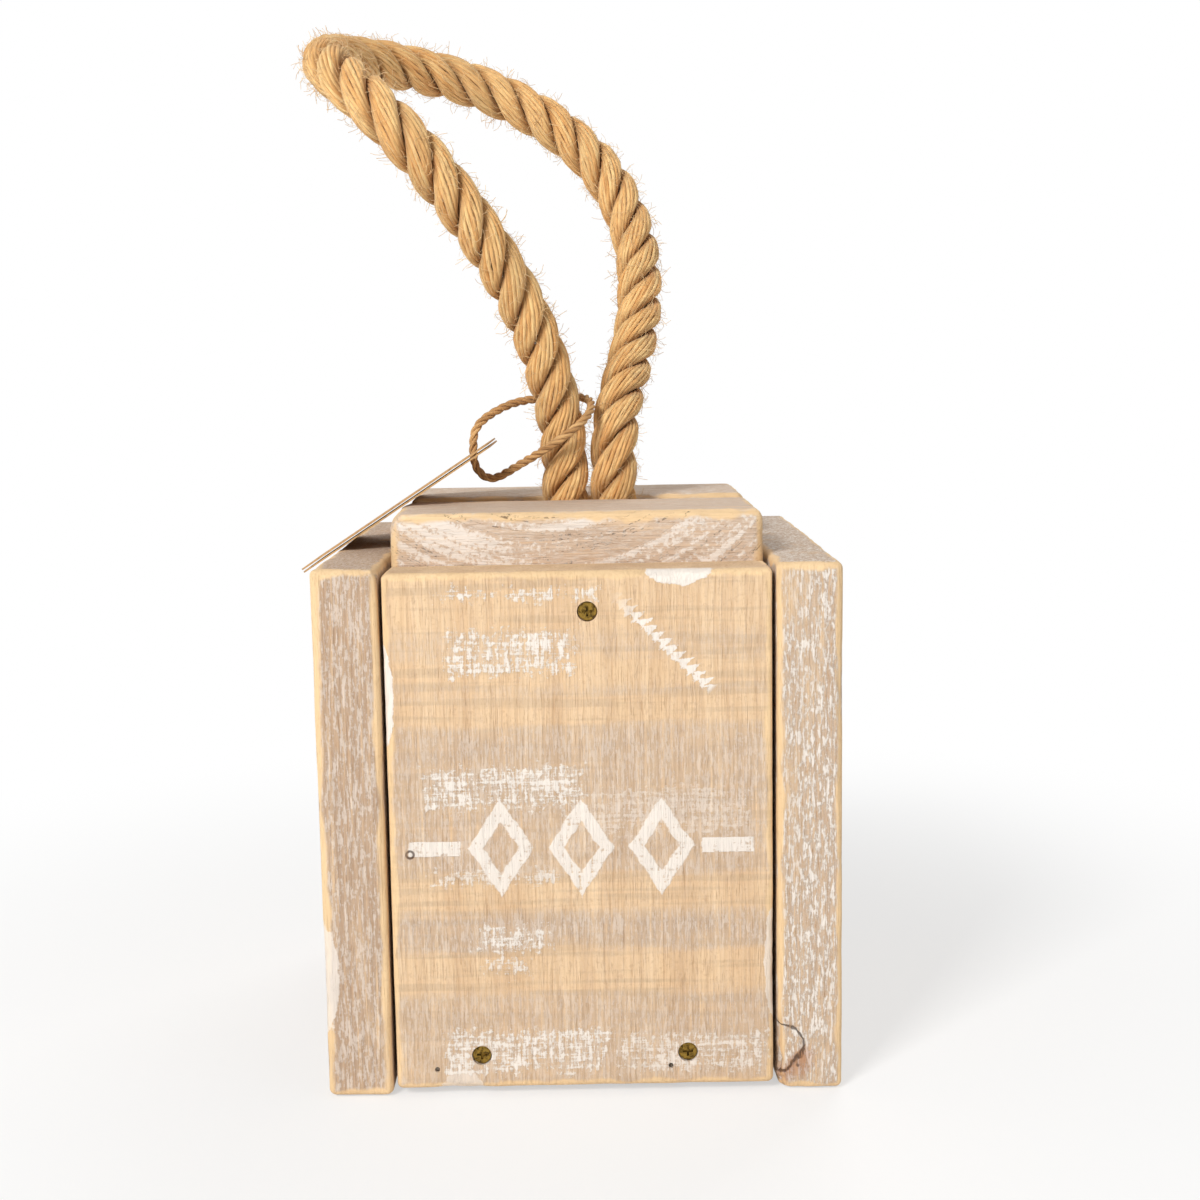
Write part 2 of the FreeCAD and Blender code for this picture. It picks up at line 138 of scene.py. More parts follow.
class Graph:
    """A node tree with one way to add a node."""

    def __init__(self, tree: Any) -> None:
        """Empty a tree and keep it.

        Args:
            tree: The node tree.
        """
        self.tree = tree
        tree.nodes.clear()

    def node(self, kind: str, settings: dict[str, Any] | None = None,
             inputs: dict[Any, Any] | None = None, output: Any = 0) -> Value:
        """Add a node.

        Args:
            kind: The node's type.
            settings: Properties, set first.
            inputs: Values or links by socket name or number.
            output: Which output to return.

        Returns:
            The chosen output, with no socket for a node that has none.
        """
        made = self.tree.nodes.new(kind)
        for name, value in (settings or {}).items():
            setattr(made, name, value)
        for key, value in (inputs or {}).items():
            if isinstance(value, Value):
                self.tree.links.new(value.socket, made.inputs[key])
            else:
                made.inputs[key].default_value = value
        return Value(self, made.outputs[output] if len(made.outputs) else None)

    def number(self, value: float) -> Value:
        """Add a plain number.

        Args:
            value: The number.

        Returns:
            Its output.
        """
        made = self.node("ShaderNodeValue")
        made.socket.default_value = value
        return made

    def vector(self, x: Operand, y: Operand, z: Operand) -> Value:
        """Join three values.

        Args:
            x: First value.
            y: Second value.
            z: Third value.

        Returns:
            The vector.
        """
        return self.node("ShaderNodeCombineXYZ", None, {0: x, 1: y, 2: z})

    def reckon(self, operation: str, first: Any, second: Any) -> Value:
        """Reckon with vectors.

        Args:
            operation: The Vector Math node's operation.
            first: A vector.
            second: A vector, or the factor of SCALE.

        Returns:
            The result.
        """
        key = "Scale" if operation == "SCALE" else 1
        return self.node("ShaderNodeVectorMath", {"operation": operation}, {0: first, key: second})

    def smooth(self, value: Operand, low: Operand, high: Operand) -> Value:
        """Rise smoothly from 0 to 1.

        Args:
            value: What is measured.
            low: Where it is still 0.
            high: Where it reaches 1.

        Returns:
            The step.
        """
        return self.node("ShaderNodeMapRange", {"interpolation_type": "SMOOTHSTEP"},
                         {0: value, 1: low, 2: high, 3: 0.0, 4: 1.0})

    def mix(self, factor: Operand, first: Any, second: Any) -> Value:
        """Mix two colours.

        Args:
            factor: How much of the second.
            first: First colour.
            second: Second colour.

        Returns:
            The mixed colour.
        """
        return self.node("ShaderNodeMix", {"data_type": "RGBA"}, {0: factor, 6: first, 7: second}, 2)

    def noise(self, place: Sequence[Value], rates: Point | float, detail: float = 2.0, rough: float = 0.5) -> Value:
        """Add noise, drawn out along each axis by its own rate.

        Args:
            place: Three coordinates.
            rates: Marks per unit along each of them, or along all.
            detail: Octaves.
            rough: Strength of the finer octaves.

        Returns:
            The noise, about 0.5 in the middle.
        """
        steps = rates if isinstance(rates, tuple) else (rates,) * 3
        spot = self.vector(*(axis * step for axis, step in zip(place, steps)))
        return self.node("ShaderNodeTexNoise", None,
                         {"Vector": spot, "Scale": 1.0, "Detail": detail, "Roughness": rough})

    def place(self) -> tuple[Value, Value, Value]:
        """Find the point that is shaded.

        Returns:
            Its object coordinates in millimetres.
        """
        where = self.node("ShaderNodeTexCoord", None, None, "Object")
        parts = [self.node("ShaderNodeSeparateXYZ", None, {0: where}, axis) for axis in range(3)]
        return parts[0] * 1000.0, parts[1] * 1000.0, parts[2] * 1000.0


class Surface(Graph):
    """A material under construction."""

    def __init__(self, name: str) -> None:
        """Start an empty material.

        Args:
            name: Its name.
        """
        self.material = bpy.data.materials.new(name)
        self.material.use_nodes = True
        super().__init__(self.material.node_tree)

    def close(self, colour: Any, rough: Operand, height: Value, depth: float, **fixed: float) -> bpy.types.Material:
        """Add the shader and the output.

        Args:
            colour: Base colour.
            rough: Roughness.
            height: Relief for the bump.
            depth: The bump's distance in metres.
            fixed: Plain numbers for other sockets, with _ for a space.

        Returns:
            The finished material.
        """
        bump = self.node("ShaderNodeBump", None, {"Strength": 0.7, "Distance": depth, "Height": height})
        inputs: dict[Any, Any] = {"Base Color": colour, "Roughness": rough, "Normal": bump}
        inputs.update({name.replace("_", " "): value for name, value in fixed.items()})
        return self.put_out(self.node("ShaderNodeBsdfPrincipled", None, inputs))

    def put_out(self, shader: Value) -> bpy.types.Material:
        """Link a shader to the material's output.

        Args:
            shader: The shader.

        Returns:
            The finished material.
        """
        self.node("ShaderNodeOutputMaterial", None, {"Surface": shader})
        return self.material


class Grain(Enum):
    """The row axis that a board's grain runs along."""

    ACROSS = 0
    DEEP = 1
    UPRIGHT = 2


class Paint(Enum):
    """How old paint lies on a board."""

    DRY = "dry-brushed"
    CHIP = "solid flake"


class Face(Enum):
    """Distances in front of the middle, in millimetres, between which an outward face begins."""

    FRONT = (70.0, 73.0)
    PLANK = (52.0, 53.5)

    def mark(self, g: Surface, y: Value) -> Value:
        """Mark the outward face.

        Args:
            g: The material.
            y: The row's y in millimetres.

        Returns:
            1 on the face and 0 behind it.
        """
        return g.smooth(0.0 - y, *self.value)


@dataclass(frozen=True)
class Patch:
    """A patch of old white paint on the front, in millimetres."""

    left: float
    right: float
    low: float
    high: float
    kind: Paint = Paint.DRY
    strength: float = 1.0


@dataclass(frozen=True)
class Flaw:
    """A loose knot on the front: a dark ring round a point and a brown stain, in millimetres."""

    across: float
    level: float
    radius: float
    ring: float
    stain: float

    def mark(self, g: Surface, place: Sequence[Value], flecks: Value) -> tuple[Value, Value]:
        """Mark the knot on the outward face.

        Args:
            g: The material.
            place: Coordinates in millimetres.
            flecks: Noise that breaks up the ring.

        Returns:
            The ring and the stain.
        """
        x, y, z = place
        face = Face.FRONT.mark(g, y)
        side, rise = x - self.across, z - self.level
        ragged = g.noise(place, 0.16, 3.0)
        away = (side * side + rise * rise).root() + (ragged - 0.5) * self.radius * 0.9
        ring = 1.0 - g.smooth(abs(away - self.radius), self.ring * 0.3, self.ring)
        stain = g.smooth(away, self.radius * 0.7, self.radius)
        stain = stain * (1.0 - g.smooth(away, self.radius, self.radius * 1.6))
        below = g.smooth(0.0 - rise, -self.radius * 0.4, self.radius * 0.2)
        return ring * g.smooth(flecks, 0.3, 0.5) * face * 0.8, stain * face * self.stain * below


@dataclass(frozen=True)
class Scrape:
    """A saw-toothed scrape of paint that runs down to the right, in millimetres."""

    start: tuple[float, float] = (8.0, 148.0)
    end: tuple[float, float] = (37.5, 118.5)
    tooth: float = 2.7
    thin: float = 0.4
    thick: float = 3.4
    fade_in: float = 14.0
    fade_out: tuple[float, float] = (40.5, 42.0)

    def mark(self, g: Surface, x: Value, z: Value, rough: Value) -> Value:
        """Mark the scrape.

        Args:
            g: The material.
            x: Place across the face.
            z: Place up the face.
            rough: Noise that breaks it up.

        Returns:
            Where its paint is.
        """
        run = (Vector(self.end) - Vector(self.start)).normalized()
        side, rise = x - self.start[0], z - self.start[1]
        along, aside = side * run.x + rise * run.y, side * -run.y + rise * run.x
        jag = g.noise((x, z, x), (0.5, 0.5, 0.0), 4.0, 0.7)
        width = self.thin + ((along / self.tooth + jag * 0.9) % 1.0) * self.thick
        stripe = 1.0 - g.smooth(abs(aside - width * 0.3 + (jag - 0.5) * 5.0), width * 0.5, width * 0.7)
        ends = g.smooth(along, 0.0, self.fade_in) * (1.0 - g.smooth(along, *self.fade_out))
        return stripe * ends * g.smooth(rough, 0.36, 0.50)


@dataclass(frozen=True)
class Ornament:
    """A row of worn painted diamonds between two strokes, in millimetres."""

    level: float = 74.0
    diamonds: tuple[float, ...] = (-23.0, 0.0, 23.0)
    diamond_half: tuple[float, float] = (9.5, 14.5)
    strokes: tuple[float, ...] = (-42.0, 42.0)
    stroke_half: tuple[float, float] = (7.5, 2.2)
    band_middle: float = 0.76
    band_half: float = 0.24

    def mark(self, g: Surface, x: Value, z: Value, ragged: Value, rough: Value) -> Value:
        """Mark the ornament.

        Args:
            g: The material.
            x: Place across the face.
            z: Place up the face.
            ragged: Noise that moves its edges.
            rough: Noise that wears it.

        Returns:
            Where its paint is.
        """
        rise = abs(z - self.level)
        shapes = []
        for middle in self.diamonds:
            leaf = abs(x - middle) / self.diamond_half[0] + rise / self.diamond_half[1]
            shapes.append(abs(leaf - self.band_middle) - self.band_half)
        for middle in self.strokes:
            shapes.append((abs(x - middle) / self.stroke_half[0]).most(rise / self.stroke_half[1]) - 1.0)
        shape = shapes[0]
        for other in shapes[1:]:
            shape = shape.least(other)
        solid = 1.0 - g.smooth(shape + (ragged - 0.5) * 0.28, -0.04, 0.03)
        return solid * g.smooth(rough, 0.38, 0.47) * 0.95


@dataclass(frozen=True)
class GrainMarks:
    """The noises that a board's colours come from."""

    broad: Value
    lines: Value
    fine: Value
    pores: Value
    flecks: Value
    mottle: Value


@dataclass(frozen=True)
class WoodFinish:
    """Weathered softwood: its colours, grey patina, bands and paint."""

    name: str
    slot: str
    grain: Grain
    seed: float
    grey_amount: float
    pale: Colour = tone(238, 207, 167)
    middle: Colour = tone(224, 189, 148)
    dark: Colour = tone(176, 130, 88)
    grey: Colour = tone(212, 189, 168)
    deep_grey: Colour = tone(176, 151, 130)
    edge: Colour = tone(242, 209, 160)
    white: Colour = tone(241, 233, 224)
    stain: Colour = tone(176, 108, 58)
    crack: Colour = tone(62, 40, 26)
    specks: float = 0.5
    edge_reach: float = 2.6
    streaks: float = 0.30
    chatter: float = 0.0
    saw_centre: tuple[float, float] | None = None
    flaws: tuple[Flaw, ...] = ()
    bands: tuple[tuple[float, float, float], ...] = ()
    band_edge: float = 2.5
    patches: tuple[Patch, ...] = ()
    scrape: Scrape = Scrape()
    ornament: Ornament | None = None

    def make(self, low: Vector, high: Vector) -> bpy.types.Material:
        """Build the material for a board.

        Args:
            low: The board's lowest corner in metres.
            high: Its highest corner.

        Returns:
            The material.
        """
        g = Surface(self.name)
        place = g.place()
        along = place[self.grain.value] + self.seed * 37.0
        across, deep = (place[i] + self.seed * 13.0 for i in range(3) if i != self.grain.value)
        marks = self._marks(g, place, along, across, deep)
        colour = self._bare(g, place, marks)
        edge = self._edges(g, place, low, high)
        patina = self._patina(g, place, (along, across, deep)) * (1.0 - edge)
        grey = g.mix(g.smooth(marks.fine, 0.4, 0.7) * 0.42, self.grey, self.deep_grey)
        colour = g.mix(patina * g.smooth(marks.fine, 0.2, 0.5) * 0.92, colour, grey)
        colour = g.mix(marks.pores * 0.30, colour, self.dark)
        colour = g.mix(edge * 0.55, colour, self.edge)
        crackle = marks.flecks * 0.75 + marks.mottle * 0.25
        gaps = (1.0 - g.smooth(crackle, 0.36, 0.44)) * patina * self.specks
        colour = g.mix(gaps * 0.6, colour, self.dark)
        paint = g.smooth(crackle, 0.485, 0.545) * patina * self.specks
        if self.saw_centre:
            filled, cuts = self._saw_marks(g, place, marks.mottle)
            colour = g.mix(cuts * 0.7, colour, self.crack)
            paint = paint.most(filled * patina)
        if self.patches:
            paint = paint.most(self._paint(g, place))
        colour = g.mix(paint * 0.9, colour, self.white)
        cracks = g.number(0.0)
        for flaw in self.flaws:
            ring, stain = flaw.mark(g, place, marks.flecks)
            colour = g.mix(ring, g.mix(stain, colour, self.stain), self.crack)
            cracks = cracks.most(ring)
        height = paint * 0.6 - marks.pores * 0.5 - g.smooth(marks.fine, 0.4, 0.7) * 0.4
        height = height - marks.mottle * 0.5 - marks.lines * 0.25 - cracks * 2.0
        return g.close(colour, 0.86 - paint * 0.16 - edge * 0.1, height, 0.00035, Specular_IOR_Level=0.3)

    @staticmethod
    def _marks(g: Surface, place: Sequence[Value], along: Value, across: Value, deep: Value) -> GrainMarks:
        """Make the noises of the grain.

        Args:
            g: The material.
            place: Coordinates in millimetres.
            along: Place along the grain.
            across: Place across it.
            deep: Place into it.

        Returns:
            The noises.
        """
        grain = (along, across, deep)
        warp = g.noise(grain, (0.012, 0.03, 0.03), 1.0)
        bent = (along, across + (warp - 0.5) * 14.0, deep)
        rings = g.noise(bent, (0.003, 0.14, 0.14), 1.5)
        return GrainMarks(
            broad=g.noise(bent, (0.006, 0.12, 0.12), 3.0),
            lines=1.0 - g.smooth(abs((rings * 8.0) % 1.0 - 0.5), 0.02, 0.2),
            fine=g.noise(grain, (0.03, 1.4, 1.4), 4.0, 0.65),
            pores=g.smooth(g.noise(grain, (0.2, 3.4, 3.4)), 0.58, 0.72),
            flecks=g.noise(grain, (0.22, 1.2, 1.2), 6.0, 0.72),
            mottle=g.noise(place, 0.75, 3.0, 0.7))

    def _bare(self, g: Surface, place: Sequence[Value], marks: GrainMarks) -> Value:
        """Colour the bare wood.

        Args:
            g: The material.
            place: Coordinates in millimetres.
            marks: The noises of the grain.

        Returns:
            The colour.
        """
        colour = g.mix(g.smooth(marks.broad, 0.3, 0.7), self.middle, self.pale)
        colour = g.mix(marks.lines * self.streaks * 0.6, colour, self.dark)
        colour = g.mix(g.smooth(marks.fine, 0.44, 0.75) * self.streaks, colour, self.dark)
        colour = g.mix(g.smooth(marks.mottle, 0.50, 0.72) * 0.30, colour, self.dark)
        if self.chatter:
            knife = g.noise(place, (0.02, 0.02, 0.42))
            colour = g.mix(g.smooth(knife, 0.45, 0.65) * self.chatter, colour, self.deep_grey)
        return colour

    def _saw_marks(self, g: Surface, place: Sequence[Value], mottle: Value) -> tuple[Value, Value]:
        """Mark the arcs that a round saw left on a plank's front.

        Args:
            g: The material.
            place: Coordinates in millimetres.
            mottle: Noise that breaks up the arcs.

        Returns:
            The arcs filled with old paint, and the deep cuts.
        """
        x, y, z = place
        face = Face.PLANK.mark(g, y)
        side, rise = x - self.saw_centre[0], z - self.saw_centre[1]
        radius = (side * side + rise * rise).root()
        arcs = g.noise((radius, side, y), (0.32, 0.015, 0.0), 3.0)
        cuts = (1.0 - g.smooth(abs(arcs - 0.44), 0.004, 0.016)) * g.smooth(mottle, 0.48, 0.58)
        return g.smooth(arcs * 0.6 + mottle * 0.4, 0.49, 0.57) * face * 0.85, cuts * face

    def _edges(self, g: Surface, place: Sequence[Value], low: Vector, high: Vector) -> Value:
        """Mark the worn band along the board's edges.

        Args:
            g: The material.
            place: Coordinates in millimetres.
            low: The board's lowest corner in metres.
            high: Its highest corner.

        Returns:
            1 at an edge and 0 away from it.
        """
        near = [(high[i] - low[i]) * 500.0 - abs(place[i] - (high[i] + low[i]) * 500.0) for i in range(3)]
        second = near[0].least(near[1]).most(near[0].most(near[1]).least(near[2]))
        ragged = g.noise(place, (0.12, 0.12, 0.05), 3.0)
        return 1.0 - g.smooth(second + (ragged - 0.5) * 5.0, self.edge_reach * 0.5, self.edge_reach)

    def _patina(self, g: Surface, place: Sequence[Value], grain: Sequence[Value]) -> Value:
        """Mark the grey patina: all over, or in level bands left by the planer.

        Args:
            g: The material.
            place: Coordinates in millimetres.
            grain: Coordinates along, across and into the grain.

        Returns:
            How grey the wood is.
        """
        whole = g.smooth(g.noise(grain, (0.02, 0.09, 0.09), 3.0), 0.20, 0.45) * self.grey_amount
        ripple = g.noise(place, (0.035, 0.035, 0.30))
        level = place[2] + (ripple - 0.5) * 6.0
        soft = self.band_edge
        for low, high, strength in self.bands:
            inside = g.smooth(level, low - soft, low + soft) * (1.0 - g.smooth(level, high - soft, high + soft))
            whole = whole.most(inside * strength * (0.55 + ripple * 0.9))
        return whole

    def _paint(self, g: Surface, place: Sequence[Value]) -> Value:
        """Mark the old white paint on the outward face.

        Args:
            g: The material.
            place: Coordinates in millimetres.

        Returns:
            Where the paint is.
        """
        x, y, z = place
        brushed = g.noise(place, (0.06, 0.2, 0.8), 4.0, 0.7)
        grained = g.noise(place, (1.1, 0.5, 0.16), 4.0, 0.7)
        speckle = g.noise(place, 0.8, 4.0, 0.7)
        rough = brushed * 0.3 + grained * 0.4 + speckle * 0.3
        ragged = g.noise(place, 0.35, 4.0, 0.65)
        total = self.scrape.mark(g, x, z, rough)
        for patch in self.patches:
            wide, tall = (patch.right - patch.left) / 2, (patch.high - patch.low) / 2
            side, rise = abs(x - (patch.left + patch.right) / 2), abs(z - (patch.low + patch.high) / 2)
            if patch.kind is Paint.CHIP:
                across, up = side / wide, rise / tall
                leaf = across * across + up * up + (ragged - 0.5) * 1.3
                there = 1.0 - g.smooth(leaf, 0.9, 1.05)
            else:
                outside = (side - wide).most(rise - tall)
                inside = 1.0 - g.smooth(outside + (ragged - 0.5) * 11.0, -3.0, 3.0)
                there = g.smooth(rough + inside * 0.2 - 0.2, 0.465, 0.53) * inside
            total = total.most(there * patch.strength)
        if self.ornament:
            total = total.most(self.ornament.mark(g, x, z, ragged, rough))
        return total * Face.FRONT.mark(g, y)


@dataclass(frozen=True)
class JuteFinish:
    """Jute fibre, streaked along each yarn, with painted shade on the yarns nearest the rope's core."""

    name: str
    light: Colour = tone(252, 214, 150)
    middle: Colour = tone(234, 178, 110)
    dark: Colour = tone(140, 86, 40)

    def make(self) -> bpy.types.Material:
        """Build the material from the attributes that the strands carry.

        Returns:
            The material.
        """
        g = Surface(self.name)
        along, around, yarn, hollow = (g.node("ShaderNodeAttribute", {"attribute_name": name}, None, "Fac")
                                       for name in ("along", "around", "yarn", "hollow"))
        streak = g.noise((along, around, yarn), (240.0, 9.0, 5.3), 4.0, 0.7)
        blotch = g.noise((along, around, yarn), (45.0, 0.5, 3.1))
        colour = g.mix(g.smooth(blotch, 0.3, 0.7), self.middle, self.light)
        colour = g.mix(g.smooth(streak, 0.45, 0.70) * 0.62, colour, self.dark)
        # Painted shade: yarns darken the nearer they lie to the rope's core, where the strands shade them.
        colour = g.mix(g.smooth(hollow, 0.15, 0.65) * 0.45, colour, self.dark)
        return g.close(colour, 0.82, streak * -1.0, 0.0006, Specular_IOR_Level=0.25, Sheen_Weight=0.15)


@dataclass(frozen=True)
class MetalFinish:
    """Plated or bare wire metal with fine scratches and grime."""

    name: str
    clean: Colour
    dull: Colour
    rough: float

    def make(self) -> bpy.types.Material:
        """Build the material.

        Returns:
            The material.
        """
        g = Surface(self.name)
        place = g.place()
        grime = g.noise(place, 0.7, 4.0, 0.7)
        scratch = g.noise(place, (6.0, 0.8, 2.0), 3.0)
        colour = g.mix(g.smooth(grime, 0.42, 0.62), self.clean, self.dull)
        return g.close(colour, self.rough + grime * 0.3, scratch, 0.00005, Metallic=0.85)


@dataclass(frozen=True)
class ClothFinish:
    """Plain woven cloth or tape, with its threads' pitch in millimetres."""

    name: str
    light: Colour
    dark: Colour
    pitch: float

    def make(self) -> bpy.types.Material:
        """Build the material.

        Returns:
            The material.
        """
        g = Surface(self.name)
        x, y, z = g.place()
        weave = ((x + y) * (math.pi / self.pitch)).sine() * ((z + y) * (math.pi / self.pitch)).sine()
        soil = g.noise((x, y, z), 0.05, 3.0)
        colour = g.mix(g.smooth(weave + soil, -0.2, 1.4), self.dark, self.light)
        return g.close(colour, 0.9, weave, 0.0002)


@dataclass(frozen=True)
class CardFinish:
    """Brown kraft card with fibres."""

    name: str
    face: Colour = tone(202, 160, 108)
    fleck: Colour = tone(120, 84, 54)

    def make(self) -> bpy.types.Material:
        """Build the material.

        Returns:
            The material.
        """
        g = Surface(self.name)
        place = g.place()
        fibres = g.noise(place, (0.5, 2.4, 0.5), 4.0, 0.7)
        cloud = g.noise(place, 0.06)
        colour = g.mix(g.smooth(fibres, 0.52, 0.7) * 0.6 + cloud * 0.25, self.face, self.fleck)
        return g.close(colour, 0.84, fibres, 0.00008)


def add_object(name: str, data: Any) -> bpy.types.Object:
    """Put an object in the scene.

    Args:
        name: Its name.
        data: Its mesh, curve, lamp or camera.

    Returns:
        The object.
    """
    made = bpy.data.objects.new(name, data)
    bpy.context.scene.collection.objects.link(made)
    return made


def shaped_mesh(source: bpy.types.Object) -> bpy.types.Mesh:
    """Read an object's final shape and drop the object.

    Args:
        source: The object.

    Returns:
        Its shape as a plain mesh.
    """
    bpy.context.view_layer.update()
    graph = bpy.context.evaluated_depsgraph_get()
    mesh = bpy.data.meshes.new_from_object(source.evaluated_get(graph), preserve_all_data_layers=True,
                                           depsgraph=graph)
    bpy.data.objects.remove(source)
    return mesh


def bake_modifiers(source: bpy.types.Object, name: str) -> bpy.types.Object:
    """Turn an object into one with a plain mesh.

    Args:
        source: The object, which is used up.
        name: Name of the result.

    Returns:
        The new object.
    """
    made = add_object(name, shaped_mesh(source))
    made.data.name = name
    return made


def settle(piece: bpy.types.Object, body: str, node: str) -> None:
    """Put a piece on its body in place of a CAD node, and report it.

    Args:
        piece: The piece.
        body: The body that it rides on.
        node: The CAD node that it replaces.
    """
    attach(piece, body)
    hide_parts(node)
    report(piece)


def report(piece: bpy.types.Object) -> None:
    """Log a piece.

    Args:
        piece: The piece.
    """
    log.info("%s: %d faces", piece.name, len(piece.data.polygons))


@dataclass(frozen=True)
class Chip:
    """A place where an edge is broken away, in millimetres."""

    at: Point
    reach: float
    depth: float


@dataclass(frozen=True)
class Bore:
    """A recess for a fastener: a point on the face, its axis, radius and depth in millimetres."""

    at: Point
    axis: int
    radius: float
    depth: float


@dataclass(kw_only=True)
class WornBox:
    """A closed box in a CAD node's place, with edges rounded by an amount that wanders, in millimetres."""

    node: str
    rounding: float = 2.0
    unevenness: float = 1.0
    relief: float = 0.10
    spacing: float = 2.6
    chips: tuple[Chip, ...] = ()
    edge_ticks: tuple[float, ...] = (0.0, 0.5, 1.0, 1.6, 2.3, 3.2, 4.4, 6.0)

    def ticks(self, half: float) -> list[float]:
        """Space out grid lines along one side, closer together near both ends.

        Args:
            half: Half the side.

        Returns:
            Their places from the middle.
        """
        length, margin = 2 * half, self.edge_ticks[-1]
        inner = length - 2 * margin
        count = max(2, round(inner / self.spacing))
        middle = [margin + inner * i / count for i in range(1, count)]
        ends = [length - tick for tick in reversed(self.edge_ticks)]
        return [tick - half for tick in [*self.edge_ticks, *middle, *ends]]

    def mesh(self) -> bpy.types.Mesh:
        """Make the box.

        Returns:
            The mesh, in metres.
        """
        low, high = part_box(self.node)
        half, centre = (high - low) * 500.0, (high + low) * 500.0
        grids = [self.ticks(side) for side in half]
        shape = bmesh.new()
        for axis in range(3):
            first, second = (axis + 1) % 3, (axis + 2) % 3
            for side in (-1.0, 1.0):
                rows = []
                for a in grids[first]:
                    row = []
                    for b in grids[second]:
                        spot = Vector((0.0, 0.0, 0.0))
                        spot[axis], spot[first], spot[second] = side * half[axis], a, b
                        row.append(shape.verts.new(self.worn_point(spot, half, centre) * MM))
                    rows.append(row)
                for upper, lower in zip(rows, rows[1:]):
                    for i in range(len(upper) - 1):
                        corners = (upper[i], lower[i], lower[i + 1], upper[i + 1])
                        shape.faces.new(corners if side > 0 else corners[::-1])
        bmesh.ops.remove_doubles(shape, verts=shape.verts, dist=2e-6)
        bmesh.ops.recalc_face_normals(shape, faces=shape.faces)
        mesh = bpy.data.meshes.new(self.node)
        shape.to_mesh(mesh)
        shape.free()
        mesh.polygons.foreach_set("use_smooth", [True] * len(mesh.polygons))
        return mesh

    def worn_point(self, spot: Vector, half: Vector, centre: Vector) -> Vector:
        """Move one point of the sharp box onto the worn box.

        Args:
            spot: The point, from the box's middle.
            half: Half the box's sides.
            centre: The box's middle.

        Returns:
            The point in the row frame.
        """
        where = spot + centre
        wander = noise.noise(where / 23.0) * 0.5 + noise.noise(where / 6.0) * 0.35
        radius = self.rounding * (1.0 + self.unevenness * 0.7 * wander)
        for chip in self.chips:
            fall = 1.0 - ((where - Vector(chip.at)).length / chip.reach) ** 2
            if fall > 0.0:
                radius += chip.depth * fall * (0.75 + 0.7 * noise.noise(where / 3.1))
        radius = max(0.5, min(radius, min(half) * 0.8))
        core = Vector([max(radius - h, min(h - radius, s)) for s, h in zip(spot, half)])
        out = (spot - core).normalized()
        dent = self.relief * (0.6 + 0.5 * noise.noise(where / 31.0) + 0.4 * noise.noise(where / 7.0))
        return centre + core + out * (radius - max(0.0, dent))


@dataclass(kw_only=True)
class WornBoard(WornBox):
    """A board with hand-worn edges, dents and fastener recesses."""

    finish: WoodFinish
    bores: tuple[Bore, ...] = ()
    sharp_angle: float = 38.0

    def build(self) -> None:
        """Make the board in place of its CAD node and dress it."""
        made = self.bored(add_object("raw_" + self.node, self.mesh()))
        made.data.materials.clear()
        made.data.materials.append(self.finish.make(*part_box(self.node)))
        settle(made, "box", self.node)

    def bored(self, blank: bpy.types.Object) -> bpy.types.Object:
        """Cut the fastener recesses and smooth the faces.

        Args:
            blank: The board without recesses, which is used up.

        Returns:
            The board.
        """
        cutter = None
        if self.bores:
            tool = bmesh.new()
            for bore in self.bores:
                turn = Matrix.Rotation(math.pi / 2, 4, "Y" if bore.axis == 0 else "X")
                bmesh.ops.create_cone(tool, cap_ends=True, segments=32, radius1=bore.radius * MM,
                                      radius2=bore.radius * MM, depth=2 * bore.depth * MM,
                                      matrix=Matrix.Translation(Vector(bore.at) * MM) @ turn)
            mesh = bpy.data.meshes.new("recess_tool")
            tool.to_mesh(mesh)
            tool.free()
            cutter = add_object("recess_tool", mesh)
            cut = blank.modifiers.new("recesses", "BOOLEAN")
            cut.operation, cut.object, cut.solver = "DIFFERENCE", cutter, "EXACT"
        made = bake_modifiers(blank, "worn_" + self.node)
        if cutter:
            bpy.data.objects.remove(cutter)
        made.data.polygons.foreach_set("use_smooth", [True] * len(made.data.polygons))
        made.data.set_sharp_from_angle(angle=math.radians(self.sharp_angle))
        return made


@dataclass(kw_only=True)
class SandBag(WornBox):
    """The slumped cloth bag of sand inside the box."""

    node: str = "sand_bag"
    rounding: float = 15.0
    unevenness: float = 0.5
    relief: float = 1.6
    spacing: float = 4.0
    fill: float = 0.9
    finish: ClothFinish = ClothFinish("bag_cotton", tone(222, 212, 190), tone(176, 164, 138), 1.1)

    def build(self) -> None:
        """Make the bag in place of its CAD node."""
        bag = add_object("slumped_bag", self.mesh())
        bag.data.materials.append(self.finish.make())
        settle(bag, "box", self.node)


@dataclass(frozen=True)
class Lay:
    """How a cord's strands are made up, with sizes in millimetres."""

    strands: int
    yarns: int
    strand_circle: float
    yarn_circle: float
    yarn_radius: float
    pitch: float
    step: float
    wander: float
    yarn_turn: float
    spread: float
    sides: int

    def inputs(self) -> dict[str, Any]:
        """List the strand tree's inputs.

        Returns:
            Values by name, in metres.
        """
        return {"Strands": self.strands, "Yarns": self.yarns, "Strand circle": self.strand_circle * MM,
                "Yarn circle": self.yarn_circle * MM, "Yarn radius": self.yarn_radius * MM, "Lay": self.pitch * MM,
                "Step": self.step * MM, "Wander": self.wander * MM, "Yarn turn": self.yarn_turn,
                "Spread": self.spread, "Sides": self.sides}


ROPE_LAY = Lay(strands=3, yarns=16, strand_circle=4.35, yarn_circle=2.5, yarn_radius=0.70, pitch=36.0, step=1.6,
               wander=1.0, yarn_turn=-1.25, spread=1.5, sides=6)
TWINE_LAY = Lay(strands=3, yarns=1, strand_circle=0.74, yarn_circle=0.0, yarn_radius=0.66, pitch=9.0, step=0.55,
                wander=0.12, yarn_turn=0.0, spread=1.0, sides=8)


